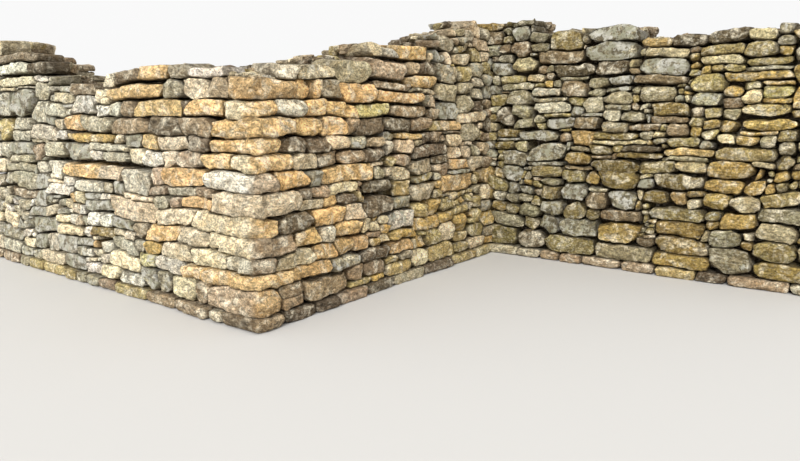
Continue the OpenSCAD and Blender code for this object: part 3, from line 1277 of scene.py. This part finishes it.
def roughness_of(side, kind):
    """How far the face of a stone is from flat."""
    return BACK_ROUGH if side == "back" else ROUGH if kind in ROUGH_KINDS else PLAIN_ROUGH


face_heaps = defaultdict(Heap)
for side, (plane, start, end, look, seed) in sides.items():
    draw = np.random.default_rng(seed)
    for stone in fronts[side]:
        along = stone.middle()
        capping = max(stone.top) > height_on(tops[side], along) - COPE_REACH
        node = bay_of(side, along) + ("_cope" if capping else "_face")
        depth = COPE_DEPTH if capping else SKIN
        cell = FINE_CELL if along < FINE_UNTIL else COARSE_CELL
        rough = roughness_of(side, stone.kind)
        proud = draw.uniform(-0.2, 1.2) * rough
        # The painted light and shade of the face where this stone lies.
        face_light = painted_light_at(side, along, stone.bottom[0])
        face_heaps[node].add_stone(stone, plane, draw, depth, cell, proud, rough, face_light)
make_pieces(face_heaps)

# %% [markdown]
# ## Quoins
# The corner stones show two sides, and their arris is worn round like a bull's nose. Each is a block
# cut into cells of about two centimetres and pulled onto rounded edges.

# %% Round a block
QUOIN_CELL = 0.018
QUOIN_CROWD = 1.3
QUOIN_EDGE = 0.015
ARRIS = 0.055
LEAST_CUTS = 3


def round_block(low, high):
    """A block between two corners, with rounded edges and a bull-nosed arris, and its faces."""
    size = high - low
    start_cube()
    cut_bands([(axis, max(LEAST_CUTS, round(size[axis] / QUOIN_CELL)) + 1) for axis in range(3)])
    points, faces = take_model()
    points = np.sin(points * QUOIN_CROWD) / math.sin(QUOIN_CROWD)
    points = (low + high) / 2 + points * size / 2
    edge = min(QUOIN_EDGE, 0.3 * size[2])
    inside = np.clip(points, low + edge, high - edge)
    out = points - inside
    distance = np.linalg.norm(out, axis=1, keepdims=True)
    points = inside + out * edge / np.maximum(distance, TINY)
    corner = np.array([high[0] - ARRIS, low[1] + ARRIS])
    reach = np.clip((points[:, :2] - corner) * [1, -1], 0, None)
    distance = np.hypot(*reach.T)
    in_arris = (reach.min(axis=1) > 0) & (distance > ARRIS)
    ratio = np.where(in_arris, ARRIS / np.maximum(distance, TINY), 1)[:, None]
    points[:, :2] += (reach * ratio - reach) * [1, -1]
    return points, faces


# %% [markdown]
# A block gets thinner towards the ends of its two legs. Its faces bulge and lean back with the wall,
# waves make it uneven, and flat cuts chip its arris.

# %% Wear a block
ARRIS_CUTS = 9
BLOCK_WAVES = ((0.2, 0.009), (0.08, 0.005))
TAIL = 0.03


def wear_block(points, low, high, draw):
    """Wears the points of a block in place."""
    centre, size = (low + high) / 2, high - low
    half_high = size[2] / 2
    up = (points[:, 2] - centre[2]) / half_high
    along_left = np.clip((high[0] - points[:, 0]) / size[0], 0, 1)
    along_right = np.clip((points[:, 1] - low[1]) / size[1], 0, 1)
    furthest = np.maximum(along_left, along_right)
    ease = draw.uniform(0.1, 0.3, 2)
    thinner = np.where(up > 0, ease[0], ease[1]) * furthest ** draw.uniform(3, 6)
    points[:, 2] = centre[2] + up * half_high * (1 - thinner)
    bulge = draw.uniform(0.006, 0.014) * (1 - up**2)
    points[:, 0] += np.where(points[:, 0] > high[0] - ARRIS, bulge, 0)
    points[:, 1] -= np.where(points[:, 1] < low[1] + ARRIS, bulge, 0)
    for length, swing in BLOCK_WAVES:
        points += waves(points, draw, length, swing)
    for _ in range(ARRIS_CUTS):
        normal = draw.normal(size=3) * [1, 1, 0.7]
        normal[0], normal[1] = abs(normal[0]) + 0.3, -abs(normal[1]) - 0.3
        cut_flat(points, normal, draw.uniform(0.004, 0.016))
    lean = LEAN * (points[:, 2] - low[2])
    points[:, 0] -= np.where(points[:, 0] > low[0] + TAIL, lean, 0)
    points[:, 1] += np.where(points[:, 1] < high[1] - TAIL, lean, 0)


# %% [markdown]
# Each quoin has one finish for its left side and one for its right, which blend across the arris.

# %% Set the quoins
QUOIN_FINISHES = ["dt", "gg", "lm", "cm", "cg", "pp", "wd", "cg", "gg", "gg", "cg", "tt"]
BED_GAP = 0.003
BLEND = 0.06
BED_RIM = 0.012
QUOIN_SEED = 100

for k, name in enumerate(quoins):
    draw = np.random.default_rng(QUOIN_SEED + k)
    low, high = (np.array(corner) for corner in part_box(name))
    low[2] += BED_GAP
    high[2] -= BED_GAP
    points, faces = round_block(low, high)
    wear_block(points, low, high, draw)
    left_tint, right_tint = (as_light(FINISHES[kind][0]) for kind in QUOIN_FINISHES[k])
    blend = np.clip(((points[:, 0] - high[0]) - (low[1] - points[:, 1])) / BLEND + 1.0, 0, 1)[:, None]
    tint = left_tint * (1 - blend) + right_tint * blend
    # Grime and painted shade: each quoin darkens within a rim at its top and bottom bed, where it meets
    # the stones above and below.
    rim = np.minimum(points[:, 2] - low[2], high[2] - points[:, 2])
    grime_and_shade = np.clip(1 - rim / BED_RIM, 0, 1) * 0.8
    lichen = 0.6 * FINISHES[QUOIN_FINISHES[k][0]][1]
    block = Heap()
    block.add(points, faces, grime_and_shade, tint, lichen, draw)
    block.make(name + "_block", "quoin_stone", [name])
    print(name, len(faces), "faces")

# %% [markdown]
# ## Footings
# Long flat stones stick out a hand's breadth at the bottom, in front and behind.

# %% Lay the footings
STEP_OUT = 0.04
FOOTING_LENGTHS = (0.16, 0.46)
FOOTING_DEPTH = 0.34
FOOTING_CELL = 0.034
SHORTEST_ROW = 0.02


def row_of(start, end, lengths, low, high, kinds, draw):
    """A single row of stones with lengths between two limits."""
    stones = []
    while end - start > SHORTEST_ROW:
        length = draw.uniform(*lengths)
        if end - start - length < 0.6 * lengths[0]:
            length = end - start
        stones.append(Stone(start, start + length, (low, low), (high, high), draw.choice(kinds)))
        start += length
    return stones


WALL = 2 * HALF_WALL
UNSEEN_ROUGH = 0.014
rear_corner = right_len + WALL
footing_rows = {
    "left": ((LEFT, HALF_WALL, left_len), (LEFT_REAR, WALL, left_len), 300),
    "right": ((RIGHT, -STEP_OUT, right_len), (RIGHT_REAR, WALL, rear_corner), 302),
    "back": ((BACK, 0.0, back_len), (BACK_REAR, -WALL, back_len), 304),
}
footings = defaultdict(Heap)
chance = random.Random(31)
for side, (front, rear, seed) in footing_rows.items():
    draw = np.random.default_rng(seed)
    for plane, start, end in (front, rear):
        for stone in row_of(start, end, FOOTING_LENGTHS, 0, foot, "smkmes", chance):
            node = bay_of(side, stone.middle()) + "_footing"
            proud = STEP_OUT * draw.uniform(0.45, 0.95)
            footings[node].add_stone(stone, plane, draw, FOOTING_DEPTH, FOOTING_CELL, proud, UNSEEN_ROUGH)
make_pieces(footings)

# %% [markdown]
# ## The rear skins
# The rear is rarely looked at, so its stones have fewer cells. At its corner a long
# stone lies along the right side in one course and along the back in the next.

# %% Lay the rear skins
REAR_CELL = 0.05
rears = {
    "left": (LEFT_REAR, WALL - SKIN, left_len, 21),
    "right": (RIGHT_REAR, WALL, rear_corner, 22),
    "back": (BACK_REAR, -WALL, back_len, 23),
}
tied = {"left": [], "right": [], "back": []}
shown = {"left": [], "right": [], "back": []}
for k in range(len(beds) - 1):
    bottom, top = (beds[k], beds[k]), (beds[k + 1], beds[k + 1])
    long, short = 0.3 + 0.05 * (k % 3), SKIN
    on_right, on_back = (long, short) if k % 2 else (short, long)
    kind = "smc"[k % 3]
    tied["right"].append(Stone(rear_corner - on_right, rear_corner, bottom, top, kind))
    tied["back"].append(Stone(-WALL, -WALL + on_back, bottom, top, kind))
    owner = "right" if k % 2 else "back"
    shown[owner].append(tied[owner][-1])

skins = defaultdict(Heap)
for side, (plane, start, end, seed) in rears.items():
    course = Course(side, start, end, tied[side])
    draw = np.random.default_rng(seed)
    for stone in shown[side] + lay_rubble(course, look_rear, random.Random(seed)):
        node = bay_of(side, stone.middle()) + "_back"
        proud = draw.uniform(-0.004, 0.016)
        skins[node].add_stone(stone, plane, draw, SKIN, REAR_CELL, proud, UNSEEN_ROUGH)
make_pieces(skins)

# %% [markdown]
# ## The packing
# Between the two skins lies small rubble. One pebble is modelled with few faces and copied, and each
# copy is squeezed, turned and chipped in its own way.

# %% Model a pebble
PEBBLE_CUTS = 2
PEBBLE_ROUND = 0.45
SQUEEZES = ([0.4, 0.3, 0.22], [0.6, 0.5, 0.36])
start_cube()
bpy.ops.mesh.subdivide(number_cuts=PEBBLE_CUTS)
bpy.ops.transform.tosphere(value=PEBBLE_ROUND)
pebble_points, pebble_faces = take_model()
print("a pebble has", len(pebble_faces), "faces")


def add_pebble(target, place, size, draw, kinds):
    """Puts one pebble in a heap, with its top near the height of the place."""
    half = size * draw.uniform(*SQUEEZES)
    points = chip(pebble_points * half, draw, 4, 0.25 * size, 0)
    turn = draw.uniform(0, math.pi)
    across, along = points[:, 0].copy(), points[:, 1].copy()
    points[:, 0] = across * math.cos(turn) - along * math.sin(turn)
    points[:, 1] = across * math.sin(turn) + along * math.cos(turn)
    points += place - np.array([0, 0, half[2]])
    tone, lichen = FINISHES[draw.choice(list(kinds))]
    grime_and_shade = np.full(len(points), draw.uniform(0.1, 0.6))
    target.add(points, pebble_faces, grime_and_shade, as_light(tone) * draw.uniform(0.8, 1.05), lichen, draw)


# %% [markdown]
# Pebbles lie in rows from the cope to the rear skin, and more are strewn over the corner's head.

# %% Pack the top
PEBBLE_SIZES = (0.07, 0.13)
SMALL_SIZES = (0.03, 0.075)
PEBBLE_STEPS = (0.05, 0.08)
ACROSS_STEP = 0.055
MIXED_KINDS = "smkpce"
stretches = {"left": (HALF_WALL, 524), "right": (HALF_WALL, 525), "back": (0.05 - WALL, 524)}
packing = defaultdict(Heap)
for side, (along, seed) in stretches.items():
    front, end = sides[side][0], rears[side][2]
    draw = np.random.default_rng(seed)
    while along < end - 0.02:
        top = height_on(tops[side], along)
        front_edge = COPE_DEPTH + LEAN * (top - foot) - 0.01
        target = packing[bay_of(side, along) + "_packing"]
        for into in np.arange(front_edge, WALL - SKIN + 0.05, ACROSS_STEP):
            place = front.foot_at + front.along * (along + draw.uniform(-0.02, 0.02))
            place = place + front.into * (into + draw.uniform(0, 0.03))
            sunk = top - draw.uniform(0.008, 0.035)
            add_pebble(target, np.array([*place, sunk]), draw.uniform(*PEBBLE_SIZES), draw, MIXED_KINDS)
        along += draw.uniform(*PEBBLE_STEPS)

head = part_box("quoin_12")[1].z
draw = np.random.default_rng(77)
strewn = (
    (80, [-0.03, -0.14, head + 0.004], [0.14, 0.04, head + 0.03], SMALL_SIZES, "cpwsc"),
    (60, [-0.2, -0.03, head - 0.06], [0.0, 0.34, head + 0.07], PEBBLE_SIZES, MIXED_KINDS),
)
for count, lowest, highest, sizes, kinds in strewn:
    for _ in range(count):
        place = draw.uniform(lowest, highest)
        add_pebble(packing["left_near_packing"], place, draw.uniform(*sizes), draw, kinds)

# %% [markdown]
# Where the wall is cut off, rows of small stones show between the ends of the skins.

# %% Pack the cut ends
ROW_HEIGHTS = (0.06, 0.11)
SMALL_LENGTHS = (0.07, 0.15)
END_DEPTH = 0.12
END_CELL = 0.03
END_ROUGH = 0.016


def pack_end(node, plane, top, seed):
    """Rows of small rubble between the ends of the two skins."""
    draw, chance = np.random.default_rng(seed), random.Random(seed)
    low = foot
    while low < top - 0.03:
        high = min(low + chance.uniform(*ROW_HEIGHTS), top)
        start = SKIN + LEAN * (low - foot) - 0.01
        for stone in row_of(start, WALL - SKIN + 0.01, SMALL_LENGTHS, low, high, "smkmpe", chance):
            proud = draw.uniform(0.002, 0.02)
            packing[node].add_stone(stone, plane, draw, END_DEPTH, END_CELL, proud, END_ROUGH)
        low = high


left_end = Plane((HALF_WALL - left_len, -HALF_WALL), (0, 1), (1, 0), 0)
back_end = Plane((HALF_WALL + back_len, inner_y), (0, 1), (-1, 0), 0)
pack_end("left_far_packing", left_end, height_on(tops["left"], left_len) - 0.03, 61)
pack_end("back_far_packing", back_end, height_on(tops["back"], back_len) - 0.03, 62)
for name, stones in packing.items():
    stones.make(name, "hearting_rubble")
    print(name, len(stones.points), "small stones")

# %% [markdown]
# ## Floor and light
# A plain pale floor takes the shadow. One lamp stands high in front. It lights near and far alike, and
# it is wide, so its shadows are soft. An even sky fills the rest.

# %% Lay the floor
FLOOR = 400
FLOOR_COLOUR = colour(216, 214, 210)
bpy.ops.object.select_all(action="DESELECT")
bpy.ops.mesh.primitive_plane_add(size=FLOOR)
floor = bpy.context.object
floor.name = "floor"
paint = Nodes(bpy.data.materials.new("floor_paint"))
paint.put(paint.shader, "Base Color", FLOOR_COLOUR)
paint.put(paint.shader, "Roughness", 0.95)
floor.data.materials.append(paint.owner)
print("the floor is", FLOOR, "m wide")

# %% Light the wall
LAMP_PLACE = (13.0, -37.0, 28.0)
LAMP_AIM = [0.3, 0, 1]
LAMP_WIDTH = math.radians(25)
LAMP_STRENGTH = 1.95
SKY_ON_STONE = 0.9
SKY_SEEN = 0.95

lamp_data = bpy.data.lights.new("soft_lamp", "SUN")
lamp_data.angle = LAMP_WIDTH
lamp_data.energy = LAMP_STRENGTH
lamp = bpy.data.objects.new("soft_lamp", lamp_data)
lamp.location = LAMP_PLACE
x, y, z = -np.array(LAMP_PLACE) + LAMP_AIM
lamp.rotation_euler = (math.atan2(math.hypot(x, y), -z), 0, math.atan2(-x, y))
bpy.context.scene.collection.objects.link(lamp)

sky = Nodes(bpy.data.worlds.new("sky"), "Background")
sky.put(sky.shader, "Color", (1, 1, 1, 1))
by_camera = sky.add("LightPath").outputs["Is Camera Ray"]
sky.put(sky.shader, "Strength", sky.ramp(by_camera, 0.0, 1.0, SKY_ON_STONE, SKY_SEEN))
bpy.context.scene.world = sky.owner
bpy.context.scene.view_settings.view_transform = "Standard"
print("one lamp, with a strength of", LAMP_STRENGTH)

# %% [markdown]
# The frame's hearting stays as dark earth behind the stones.

# %% Give the core its material
for bay in bays:
    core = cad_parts[bay + "_hearting"]
    for index in range(len(core.material_slots)):
        core.material_slots[index].material = packed_earth
